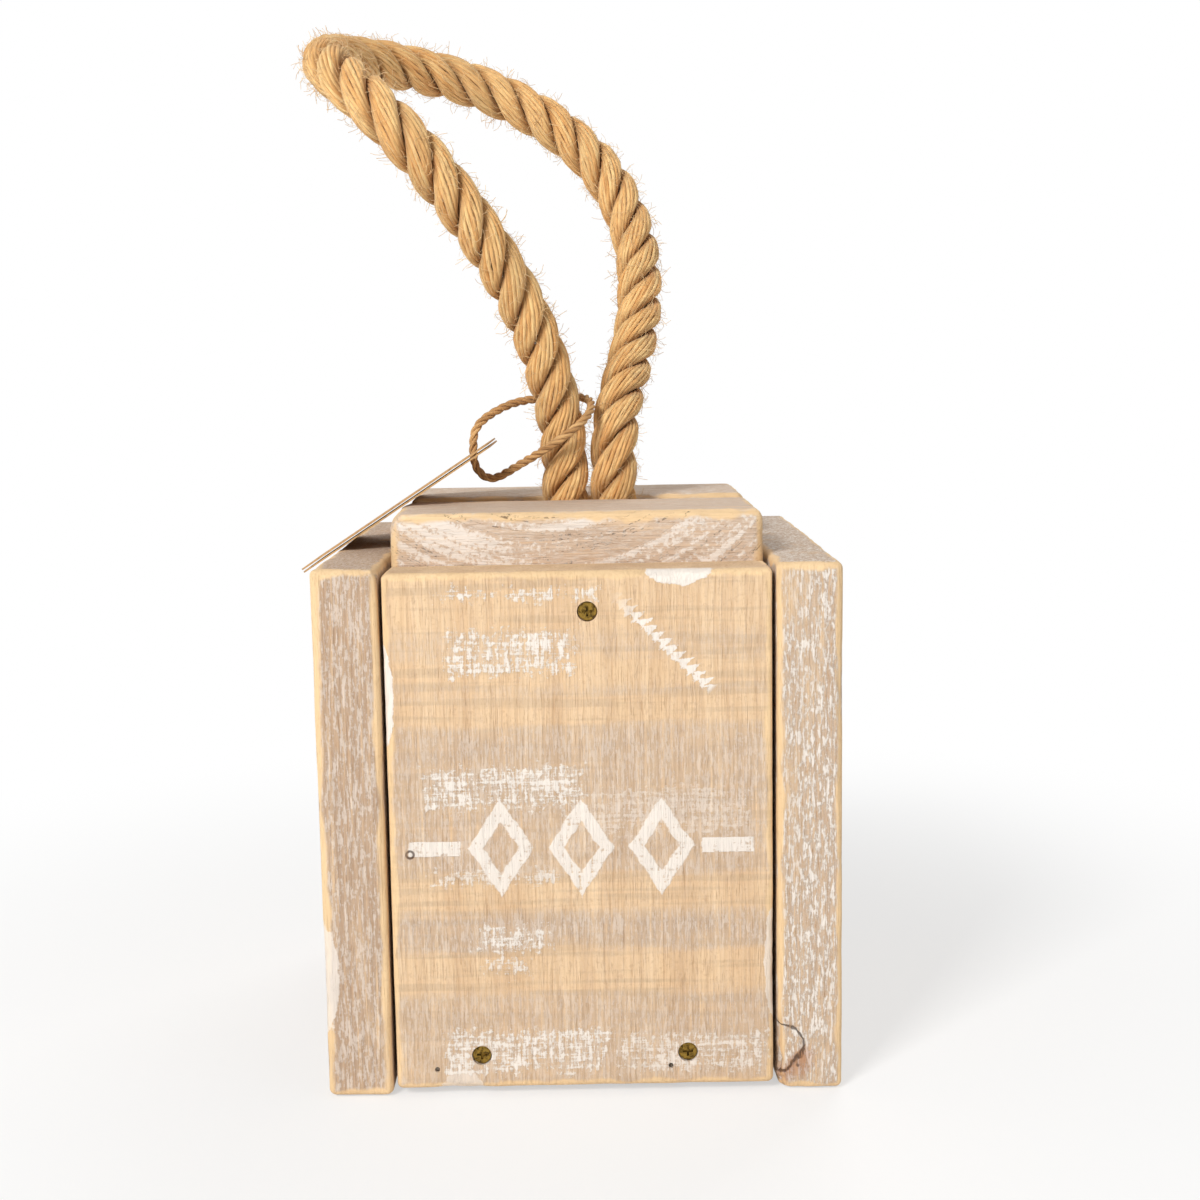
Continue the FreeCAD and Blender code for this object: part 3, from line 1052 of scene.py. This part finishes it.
class ShapeTree(Graph):
    """A geometry node tree with named inputs."""

    def __init__(self, name: str, **kinds: str) -> None:
        """Start a tree.

        Args:
            name: Its name.
            kinds: Socket types by input name, with _ for a space. The first input is the geometry.
        """
        super().__init__(bpy.data.node_groups.new(name, "GeometryNodeTree"))
        names = {key.replace("_", " "): kind for key, kind in kinds.items()}
        for label, kind in names.items():
            self.tree.interface.new_socket(label, in_out="INPUT", socket_type="NodeSocket" + kind)
        self.tree.interface.new_socket("Mesh", in_out="OUTPUT", socket_type="NodeSocketGeometry")
        self.size = {label: self.node("NodeGroupInput", None, None, label) for label in names}

    def store(self, geometry: Value, name: str, value: Value) -> Value:
        """Store a point attribute that a finish reads.

        Args:
            geometry: The geometry.
            name: The attribute.
            value: Its value.

        Returns:
            The geometry.
        """
        return self.node("GeometryNodeStoreNamedAttribute", {"data_type": "FLOAT", "domain": "POINT"},
                         {"Geometry": geometry, "Name": name, "Value": value})

    def tube(self, curve: Value, ring: Value) -> Value:
        """Sweep a ring along a curve, with closed ends.

        Args:
            curve: The curve.
            ring: The ring.

        Returns:
            The mesh.
        """
        return self.node("GeometryNodeCurveToMesh", None, {"Curve": curve, "Profile Curve": ring, "Fill Caps": True})

    def end(self, geometry: Value) -> None:
        """End in smooth, realized geometry with its material.

        Args:
            geometry: The geometry.
        """
        geometry = self.node("GeometryNodeRealizeInstances", None, {"Geometry": geometry})
        geometry = self.node("GeometryNodeSetShadeSmooth", None, {"Geometry": geometry})
        geometry = self.node("GeometryNodeSetMaterial", None,
                             {"Geometry": geometry, "Material": self.size["Finish"]})
        self.node("NodeGroupOutput", None, {0: geometry})

    def run(self, source: bpy.types.Object, name: str, values: dict[str, Any]) -> bpy.types.Object:
        """Run the tree on an object.

        Args:
            source: The object, which is used up.
            name: Name of the result.
            values: The tree's inputs by name.

        Returns:
            A plain mesh object.
        """
        modifier = source.modifiers.new("shape", "NODES")
        modifier.node_group = self.tree
        for item in self.tree.interface.items_tree:
            if item.in_out == "INPUT" and item.name in values:
                modifier[item.identifier] = values[item.name]
        source.update_tag()
        return bake_modifiers(source, name)


def strand_tree() -> ShapeTree:
    """Build the tree that lays yarns in strands round a line of edges.

    Returns:
        The tree.
    """
    g = ShapeTree("laid_strands", Line="Geometry", Strands="Int", Yarns="Int", Strand_circle="Float",
                  Yarn_circle="Float", Yarn_radius="Float", Lay="Float", Step="Float", Wander="Float",
                  Yarn_turn="Float", Spread="Float", Sides="Int", Finish="Material")
    size = g.size
    line = g.node("GeometryNodeMeshToCurve", None, {"Mesh": size["Line"]})
    line = g.node("GeometryNodeResampleCurve", {"mode": "LENGTH"}, {"Curve": line, "Length": size["Step"]})
    copies = g.node("GeometryNodeDuplicateElements", {"domain": "SPLINE"},
                    {"Geometry": line, "Amount": size["Strands"] * size["Yarns"]})
    number = copies.sibling("Duplicate Index")
    strand, yarn = (number / size["Yarns"]).floor(), number % size["Yarns"]
    length = g.node("GeometryNodeSplineParameter", None, None, "Length")
    turn = length / size["Lay"] * math.tau + strand / size["Strands"] * math.tau
    own = yarn / size["Yarns"] * math.tau + strand * 0.7 + length / size["Lay"] * size["Yarn turn"] * math.tau
    outward = size["Strand circle"] + size["Yarn circle"] * own.cosine()
    sideways = size["Yarn circle"] * own.sine() * size["Spread"]
    side, ahead = g.node("GeometryNodeInputNormal"), g.node("GeometryNodeInputTangent")
    upward = g.reckon("CROSS_PRODUCT", ahead, side)
    shift_side = g.reckon("SCALE", side, outward * turn.cosine() - sideways * turn.sine())
    shift_up = g.reckon("SCALE", upward, outward * turn.sine() + sideways * turn.cosine())
    seed = g.vector(length * 130.0, number * 3.7, number * 1.3)
    loose = g.node("ShaderNodeTexNoise", None, {"Vector": seed, "Scale": 1.0, "Detail": 2.0}, "Color")
    loose = g.reckon("SCALE", g.reckon("SUBTRACT", loose, (0.5, 0.5, 0.5)), size["Wander"])
    offset = g.reckon("ADD", g.reckon("ADD", shift_side, shift_up), loose)
    laid = copies
    # hollow is 0 on a strand's outermost yarns and 1 nearest the rope's core; the finish paints shade with it.
    for name, value in (("along", length), ("yarn", number), ("hollow", 0.5 - own.cosine() * 0.5)):
        laid = g.store(laid, name, value)
    laid = g.node("GeometryNodeSetPosition", None, {"Geometry": laid, "Offset": offset})
    ring = g.node("GeometryNodeCurvePrimitiveCircle", None,
                  {"Resolution": size["Sides"], "Radius": size["Yarn radius"]})
    ring = g.store(ring, "around", g.node("GeometryNodeSplineParameter", None, None, "Factor"))
    g.end(g.tube(laid, ring))
    return g


def fibre_tree() -> ShapeTree:
    """Build the tree that sets loose fibres on a rope's outer yarns.

    Returns:
        The tree.
    """
    g = ShapeTree("loose_fibres", Surface="Geometry", Density="Float", Length="Float", Radius="Float",
                  Seed="Int", Finish="Material")
    size = g.size
    hollow = g.node("GeometryNodeInputNamedAttribute", {"data_type": "FLOAT"}, {"Name": "hollow"})
    points = g.node("GeometryNodeDistributePointsOnFaces", None, {
        "Mesh": size["Surface"], "Selection": hollow.below(0.35), "Density": size["Density"], "Seed": size["Seed"]})
    reach = size["Length"]
    hair = g.node("GeometryNodeCurveQuadraticBezier", None, {
        "Resolution": 2, "Start": (0.0, 0.0, 0.0), "Middle": g.vector(reach * 0.35, 0.0, reach * 0.45),
        "End": g.vector(reach * 0.95, reach * 0.2, reach * 0.3)})
    hair = g.tube(hair, g.node("GeometryNodeCurvePrimitiveCircle", None, {"Resolution": 3, "Radius": size["Radius"]}))
    tilt = g.node("FunctionNodeRandomValue", {"data_type": "FLOAT_VECTOR"},
                  {0: (-0.8, -0.8, -math.pi), 1: (0.8, 0.8, math.pi), 8: size["Seed"]}, 0)
    tilt = g.node("FunctionNodeEulerToRotation", None, {0: tilt})
    turned = g.node("FunctionNodeRotateRotation", {"rotation_space": "LOCAL"}, {0: points.sibling("Rotation"), 1: tilt})
    grown = g.node("FunctionNodeRandomValue", {"data_type": "FLOAT"},
                   {2: 0.25, 3: 1.2, 8: size["Seed"] + 5.0}, 1)
    g.end(g.node("GeometryNodeInstanceOnPoints", None,
                 {"Points": points, "Instance": hair, "Rotation": turned, "Scale": grown}))
    return g


def spline_points(corners: Sequence[Vector]) -> list[Vector]:
    """Smooth a route.

    Args:
        corners: The route's corners, which are the spline's control points.

    Returns:
        Points along the spline.
    """
    curve = bpy.data.curves.new("route", "CURVE")
    curve.dimensions = "3D"
    spline = curve.splines.new("NURBS")
    spline.points.add(len(corners) - 1)
    for point, corner in zip(spline.points, corners):
        point.co = (*corner, 1.0)
    spline.order_u, spline.use_endpoint_u, spline.resolution_u = 3, True, 16
    mesh = shaped_mesh(add_object("route", curve))
    points = [v.co.copy() for v in mesh.vertices]
    bpy.data.meshes.remove(mesh)
    return points


def line_object(lines: Sequence[Sequence[Vector]]) -> bpy.types.Object:
    """Make an object of edges.

    Args:
        lines: Lines of points.

    Returns:
        The object.
    """
    points: list[Vector] = []
    edges: list[tuple[int, int]] = []
    for line in lines:
        edges += [(len(points) + i, len(points) + i + 1) for i in range(len(line) - 1)]
        points += list(line)
    mesh = bpy.data.meshes.new("line")
    mesh.from_pydata(points, edges, [])
    return add_object("line", mesh)


@dataclass
class Handle:
    """The rope loop with its loose fibres, and the tags' twine with its knot, in millimetres."""

    exit: Point = (4.0, 0.0, 168.5)
    hole: Point = (-32.524, -2.0, 182.838)
    rope_diameter: float = 15.2
    leg: float = 7.75
    bend_below: float = 12.0
    bend_above: float = 8.0
    twine_diameter: float = 2.7
    knot_size: float = 0.75
    fibre_length: float = 4.0
    fibre_radius: float = 0.07
    fibre_density: float = 225000.0
    fibre_seed: int = 7

    def from_exit(self, *point: float) -> Vector:
        """Place a point counted from the slot's middle at the planks' top.

        Args:
            point: Its three coordinates.

        Returns:
            The point in metres.
        """
        return (Vector(self.exit) + Vector(point)) * MM

    def from_hole(self, *point: float) -> Vector:
        """Place a point counted from the middle of the tags' holes.

        Args:
            point: Its three coordinates.

        Returns:
            The point in metres.
        """
        return (Vector(self.hole) + Vector(point)) * MM

    def rope_route(self) -> list[Vector]:
        """List the rope's corners.

        Returns:
            The corners from one slot end to the other.
        """
        leg = self.leg
        corners = [(-leg, 0, -15), (-leg, 0, 3), (-leg, 0, 15), (-10, -3.5, 33), (-17.5, -13, 57), (-29.5, -24, 79),
                   (-44, -33, 99.5), (-60, -37.5, 117), (-74, -26, 129.5), (-80, -3, 137), (-75, 20.5, 141),
                   (-59, 40, 141.5), (-36, 51, 137), (-11, 54, 125), (9, 51.5, 106), (18, 42, 82), (18, 29.5, 59.5),
                   (13.5, 17, 41), (9.5, 6, 28), (leg, 0, 14.5), (leg, 0, 3), (leg, 0, -15)]
        return [self.from_exit(*corner) for corner in corners]

    def knot_place(self) -> Vector:
        """Find the twine's knot, behind the left leg.

        Returns:
            Its middle in metres.
        """
        return self.from_exit(-8.4, 8.1, 32.0)

    def twine_route(self) -> list[Vector]:
        """List the twine's corners.

        Returns:
            The corners from the knot, through the tags and round the leg.
        """
        by_leg = [(-19, 5.5, 31.5), (-27, 2, 29.5)]
        by_hole = [(0.4, 1, 9.5), (-0.6, 0, 2), (0.2, -0.3, -5), (5.5, -2, -8.5)]
        round_leg = [(-23, -7, 10.5), (-14.5, -11.5, 15.5), (-6, -13, 21), (0.5, -8.5, 26.5), (1.3, -0.5, 30.5),
                     (-2, 6, 32)]
        aside = Vector((1.5 * MM, 0, 0))
        return [self.knot_place() - aside, *(self.from_exit(*corner) for corner in by_leg),
                *(self.from_hole(*corner) for corner in by_hole),
                *(self.from_exit(*corner) for corner in round_leg), self.knot_place() + aside]

    def knot_lines(self) -> list[list[Vector]]:
        """Trace an overhand knot.

        Returns:
            Its loop and two short cut ends.
        """
        middle, size = self.knot_place(), self.knot_size * MM
        turns = [math.tau * i / 40 for i in range(39)]
        loop = [middle + Vector((math.sin(t) + 2 * math.sin(2 * t), -math.sin(3 * t) * 1.1,
                                 math.cos(t) - 2 * math.cos(2 * t))) * size for t in turns]
        end = ((0.6, 0.8, 0.4), (1.6, 2.4, 1.4), (2.4, 4.2, 1.0), (3.4, 5.6, -1.6), (3.8, 6.2, -4.6))
        return [loop] + [spline_points([middle + Vector((x * side, y, z)) * MM for x, y, z in end])
                         for side in (-1.0, 1.0)]

    def build(self) -> None:
        """Make the rope, its fibres, the twine and the knot."""
        tree = strand_tree()
        self.build_rope(tree)
        self.build_twine(tree)

    def build_rope(self, tree: ShapeTree) -> None:
        """Make the rope and its fibres.

        Args:
            tree: The tree that lays strands.
        """
        jute = JuteFinish("rope_jute").make()
        wisps = JuteFinish("loose_jute", tone(248, 218, 168), tone(232, 190, 132), tone(176, 126, 74)).make()
        route = spline_points(self.rope_route())
        rope = tree.run(line_object([route]), "rope_strands", {**ROPE_LAY.inputs(), "Finish": jute})
        fibres = fibre_tree().run(add_object("fibre_base", rope.data.copy()), "rope_fibres", {
            "Density": self.fibre_density, "Length": self.fibre_length * MM, "Radius": self.fibre_radius * MM,
            "Seed": self.fibre_seed, "Finish": wisps})
        for piece in (rope, fibres):
            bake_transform(piece)
            report(piece)
        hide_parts("rope_loop", "rope_necks")

    def build_twine(self, tree: ShapeTree) -> None:
        """Make the twine and its knot.

        Args:
            tree: The tree that lays strands.
        """
        jute = JuteFinish("twine_jute", tone(226, 182, 124), tone(192, 142, 88), tone(120, 76, 38)).make()
        inputs = {**TWINE_LAY.inputs(), "Finish": jute}
        line = spline_points(self.twine_route())
        twine = tree.run(line_object([line]), "twine_strands", inputs)
        knot = tree.run(line_object(self.knot_lines()), "twine_overhand", inputs)
        settle(twine, "handle", "tag_twine")
        settle(knot, "handle", "twine_knot")


FRONT_WOOD = WoodFinish(
    "front_pine", "face_wood", Grain.UPRIGHT, 1.0, 0.16, specks=0.36, edge_reach=2.4, streaks=0.28, chatter=0.26,
    grey=tone(200, 175, 152), deep_grey=tone(162, 136, 113),
    bands=((66.0, 110.0, 0.75), (43.5, 55.0, 0.85), (2.0, 31.0, 0.7), (128.0, 137.0, 0.4), (118.0, 122.0, 0.4)),
    patches=(
        Patch(-40, 6, 144.5, 149.5), Patch(-38, 0, 123, 138), Patch(-46, 2, 84, 99),
        Patch(2, 50, 76, 92, strength=0.5), Patch(-44, -6, 62, 69, strength=0.8), Patch(-32, -8, 42, 52),
        Patch(-42, 8, 5, 21), Patch(8, 54, 5, 19, strength=0.8),
        Patch(19, 38, 149.0, 159, Paint.CHIP), Patch(-57.8, -52.3, 104, 133, Paint.CHIP),
        Patch(52.3, 58.2, 22, 56, Paint.CHIP, 0.7), Patch(-42, -29, -6, 7.5, Paint.CHIP, 0.6),
        Patch(-30, -14, 35.0, 43.0, strength=0.85)),
    flaws=(Flaw(-49.0, 72.5, 1.0, 0.5, 0.3),), ornament=Ornament())
BACK_WOOD = WoodFinish("back_pine", "face_wood", Grain.UPRIGHT, 4.0, 0.25,
                       bands=((20.0, 48.0, 0.6), (78.0, 96.0, 0.7), (120.0, 140.0, 0.5)))
LEFT_WOOD = WoodFinish("left_pine", "side_wood", Grain.UPRIGHT, 2.0, 1.0, specks=0.45,
                       grey=tone(189, 161, 137), deep_grey=tone(153, 127, 106),
                       patches=(Patch(-79, -70.5, 20, 52, Paint.CHIP, 0.75),))
RIGHT_WOOD = WoodFinish("right_pine", "side_wood", Grain.UPRIGHT, 3.0, 0.95, specks=1.0, grey=tone(200, 176, 154),
                        flaws=(Flaw(55.5, 12.0, 8.0, 0.7, 0.55),))
PLANK_WOOD = WoodFinish("plank_pine", "plank_wood", Grain.ACROSS, 5.0, 1.0, specks=0.3, edge_reach=3.4,
                        saw_centre=(-10.0, 222.0))
REAR_PLANK_WOOD = WoodFinish("rear_plank_pine", "plank_wood", Grain.ACROSS, 6.0, 0.95, specks=0.6)
BOTTOM_WOOD = WoodFinish("bottom_pine", "raw_wood", Grain.DEEP, 7.0, 0.15, specks=0.1, edge_reach=1.5)


@dataclass
class Box:
    """The six outer boards with their wear and fastener recesses, in millimetres."""

    half: float = 75.0
    head_radius: float = 2.9
    head_depth: float = 2.2
    brad_radius: float = 0.75
    brad_depth: float = 3.0
    face_screws: tuple[tuple[float, float], ...] = ((2.8, 142), (-30, 12), (30, 12))
    face_brads: tuple[tuple[float, float], ...] = ((-43, 8), (25, 8))
    side_screws: tuple[tuple[float, float], ...] = ((-31, 142), (31, 142), (-34, 12), (34, 12))

    def face_bores(self, face: float) -> tuple[Bore, ...]:
        """List the recesses of the front or back board.

        Args:
            face: The y of its outer face.

        Returns:
            The recesses.
        """
        screws = [Bore((x, face, z), 1, self.head_radius, self.head_depth) for x, z in self.face_screws]
        brads = [Bore((x, face, z), 1, self.brad_radius, self.brad_depth) for x, z in self.face_brads]
        return tuple(screws + brads)

    def side_bores(self, face: float) -> tuple[Bore, ...]:
        """List the recesses of a side board.

        Args:
            face: The x of its outer face.

        Returns:
            The recesses.
        """
        return tuple(Bore((face, y, z), 0, self.head_radius, self.head_depth) for y, z in self.side_screws)

    def boards(self) -> list[WornBoard]:
        """List the boards with their wear.

        Returns:
            The boards.
        """
        half = self.half
        return [
            WornBoard(node="front_board", finish=FRONT_WOOD, rounding=1.9, bores=self.face_bores(-half), chips=(
                Chip((28, -half, 153.5), 13, 2.2), Chip((-55, -half, 118), 16, 1.4), Chip((55, -half, 38), 20, 1.8),
                Chip((-36, -half, 2), 9, 2.0))),
            WornBoard(node="back_board", finish=BACK_WOOD, rounding=1.9, bores=self.face_bores(half), chips=(
                Chip((-20, half, 153.5), 12, 1.8),)),
            WornBoard(node="left_side_board", finish=LEFT_WOOD, rounding=2.2, bores=self.side_bores(-half), chips=(
                Chip((-half, -half, 36), 17, 2.2), Chip((-56, -half, 155), 10, 1.2))),
            WornBoard(node="right_side_board", finish=RIGHT_WOOD, rounding=2.2, bores=self.side_bores(half), chips=(
                Chip((56, -half, 10), 13, 4.5), Chip((half, -half, 120), 14, 1.2))),
            WornBoard(node="top_front_plank", finish=PLANK_WOOD, rounding=3.2, unevenness=1.4, chips=(
                Chip((-3, -55, 168.5), 9, 1.6), Chip((-54.5, -55, 168.5), 9, 2.4))),
            WornBoard(node="top_rear_plank", finish=REAR_PLANK_WOOD, rounding=2.6, chips=(
                Chip((30, 8, 168.5), 10, 1.4),)),
        ]

    def build(self) -> None:
        """Make the boards."""
        for board in self.boards():
            board.build()


@dataclass
class Fittings:
    """The pieces that keep their CAD shape."""

    zinc: MetalFinish = MetalFinish("yellow_zinc", tone(150, 120, 52), tone(72, 54, 22), 0.36)
    wire: MetalFinish = MetalFinish("brad_wire", tone(122, 112, 100), tone(66, 52, 42), 0.5)
    card: CardFinish = CardFinish("kraft_card")
    tape: ClothFinish = ClothFinish("cloth_tape", tone(190, 184, 170), tone(140, 134, 122), 0.8)
    tails: ClothFinish = ClothFinish("tail_jute", tone(222, 184, 124), tone(150, 108, 60), 2.4)

    def build(self) -> None:
        """Give each piece its finish."""
        self.dress(self.zinc.make(), "front_screws", "back_screws", "left_screws", "right_screws")
        self.dress(self.wire.make(), "front_brads", "back_brads", "rope_nails")
        self.dress(self.card.make(), "lower_tag", "upper_tag")
        self.dress(self.tape.make(), "rope_end_tape")
        self.dress(self.tails.make(), "rope_tails")
        self.dress(BOTTOM_WOOD.make(*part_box("bottom_board")), "bottom_board")

    @staticmethod
    def dress(finish: bpy.types.Material, *nodes: str) -> None:
        """Give CAD nodes a finish and report them.

        Args:
            finish: The material.
            nodes: The nodes.
        """
        for node in nodes:
            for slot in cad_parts[node].material_slots:
                slot.material = finish
            log.info("%s: %s", node, finish.name)


@dataclass(frozen=True)
class Lamp:
    """A soft lamp: its place and size in metres and its power in watts."""

    name: str
    place: Point
    size: float
    power: float

    def hang(self, target: Vector) -> None:
        """Hang the lamp.

        Args:
            target: The point that it is aimed at.
        """
        data = bpy.data.lights.new(self.name, "AREA")
        data.size, data.energy = self.size, self.power
        lamp = add_object(self.name, data)
        lamp.location = self.place
        lamp.rotation_euler = (target - Vector(self.place)).to_track_quat("-Z", "Y").to_euler()


@dataclass
class Studio:
    """Camera, lamps, floor and backdrop, in metres and degrees."""

    eye: Point = (0.0043, -0.5530, 0.2107)
    yaw: float = -0.26
    pitch: float = -7.8
    roll: float = 0.92
    lens: float = 51.6
    sensor: float = 36.0
    target: Point = (0.0, 0.0, 0.13)
    lamps: tuple[Lamp, ...] = (Lamp("key", (-0.75, -1.25, 1.05), 0.45, 23.5), Lamp("fill", (1.3, -0.9, 0.6), 1.2, 3.0),
                               Lamp("rim", (0.5, 1.2, 1.2), 0.9, 9.0))
    soft_light: float = 0.33
    floor_reach: float = 5.0
    floor_drop: float = 0.0004
    floor_glow: float = 0.55
    shadow_fade: tuple[float, float] = (120.0, 420.0)

    def build(self) -> None:
        """Set up the whole studio."""
        self.camera()
        for lamp in self.lamps:
            lamp.hang(Vector(self.target))
        self.floor()
        self.world()
        bpy.context.scene.view_settings.view_transform = "Standard"

    def camera(self) -> None:
        """Stand the camera where the photograph was taken from."""
        turn = (Matrix.Rotation(math.radians(self.yaw), 3, "Z") @ Matrix.Rotation(math.radians(self.pitch), 3, "X")
                @ Matrix.Rotation(math.radians(self.roll), 3, "Y"))
        right, ahead, up = turn.col
        data = bpy.data.cameras.new("camera")
        data.sensor_width, data.lens = self.sensor, self.lens
        camera = add_object("camera", data)
        camera.matrix_world = Matrix.Translation(self.eye) @ Matrix((right, up, -ahead)).transposed().to_4x4()
        bpy.context.scene.camera = camera

    @staticmethod
    def seen(g: Graph) -> Value:
        """Mark the rays that show the backdrop.

        Args:
            g: The node tree.

        Returns:
            1 for those rays.
        """
        paths = [g.node("ShaderNodeLightPath", None, None, name)
                 for name in ("Is Camera Ray", "Is Glossy Ray", "Is Transmission Ray")]
        return paths[0].most(paths[1]).most(paths[2])

    def floor(self) -> None:
        """Lay a pale floor that keeps the block's shadow."""
        mesh = bpy.data.meshes.new("floor")
        reach = self.floor_reach
        mesh.from_pydata([(-reach, -reach, 0), (reach, -reach, 0), (reach, reach, 0), (-reach, reach, 0)], [],
                         [(0, 1, 2, 3)])
        floor = add_object("floor", mesh)
        floor.location.z = -self.floor_drop
        g = Surface("floor_paper")
        matt = g.node("ShaderNodeBsdfDiffuse", None, {"Color": tone(244, 243, 241)})
        white = g.node("ShaderNodeEmission", None, {"Color": WHITE, "Strength": 1.0})
        x, y, _ = g.place()
        away = g.smooth((x * x + y * y).root(), *self.shadow_fade)
        shown = self.seen(g) * (self.floor_glow + away * (1.0 - self.floor_glow))
        mesh.materials.append(g.put_out(g.node("ShaderNodeMixShader", None, {0: shown, 1: matt, 2: white})))

    def world(self) -> None:
        """Surround the block with even white light."""
        world = bpy.data.worlds.new("studio")
        world.use_nodes = True
        bpy.context.scene.world = world
        g = Graph(world.node_tree)
        soft, white = (g.node("ShaderNodeBackground", None, {"Color": WHITE, "Strength": strength})
                       for strength in (self.soft_light, 1.0))
        mixed = g.node("ShaderNodeMixShader", None, {0: self.seen(g), 1: soft, 2: white})
        g.node("ShaderNodeOutputWorld", None, {"Surface": mixed})


def main() -> None:
    """Build the object in order."""
    logging.basicConfig(level=logging.INFO, format="%(name)s: %(message)s")
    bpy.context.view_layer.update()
    for part in (Studio(), Handle(), Box(), SandBag(), Fittings()):
        part.build()
    bpy.context.view_layer.update()


if __name__ == "__main__":
    main()
